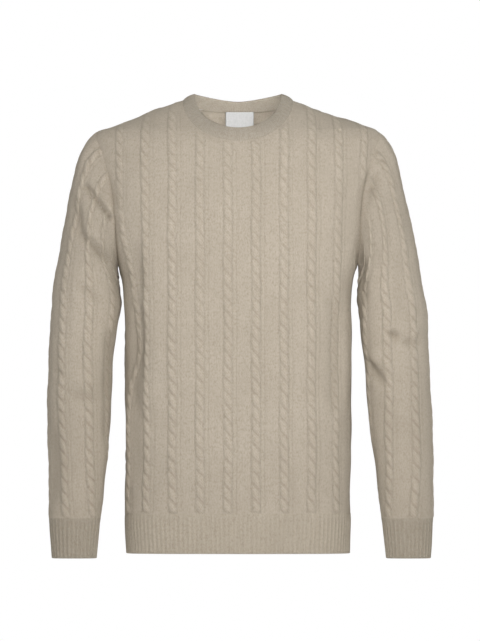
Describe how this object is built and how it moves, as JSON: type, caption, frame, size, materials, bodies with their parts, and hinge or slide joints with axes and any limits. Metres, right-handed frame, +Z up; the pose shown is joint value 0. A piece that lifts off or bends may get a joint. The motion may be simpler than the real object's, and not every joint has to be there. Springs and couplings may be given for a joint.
{
  "type": "cable knit crew neck sweater",
  "caption": "Long-sleeved crew neck sweater in cable knit with ribbed neckband, cuffs and hem, filled out as worn with nobody inside.",
  "frame": {"origin": "middle of the neck opening, level with the inner ends of the shoulder seams, where the wearer's neck holds the garment", "axes": "+Z up along the wearer, +X towards the wearer's left, -Y out of the chest, so the front faces -Y"},
  "size_m": [0.5822, 0.2211, 0.6965],
  "materials": {
    "wool_knit": "soft, slightly hairy wool knit, oatmeal melange",
    "wool_rib": "soft ribbed wool knit, oatmeal melange",
    "label_weave": "smooth white woven ribbon with a slight sheen"
  },
  "bodies": {
    "root": {"front_panel": "wool_knit", "back_panel": "wool_knit", "sleeve_left": "wool_knit", "sleeve_right": "wool_knit", "hem_rib_front": "wool_rib", "hem_rib_back": "wool_rib", "cuff_left": "wool_rib", "cuff_right": "wool_rib", "neckband": "wool_rib", "neck_label": "label_weave"}
  },
  "joints": []
}
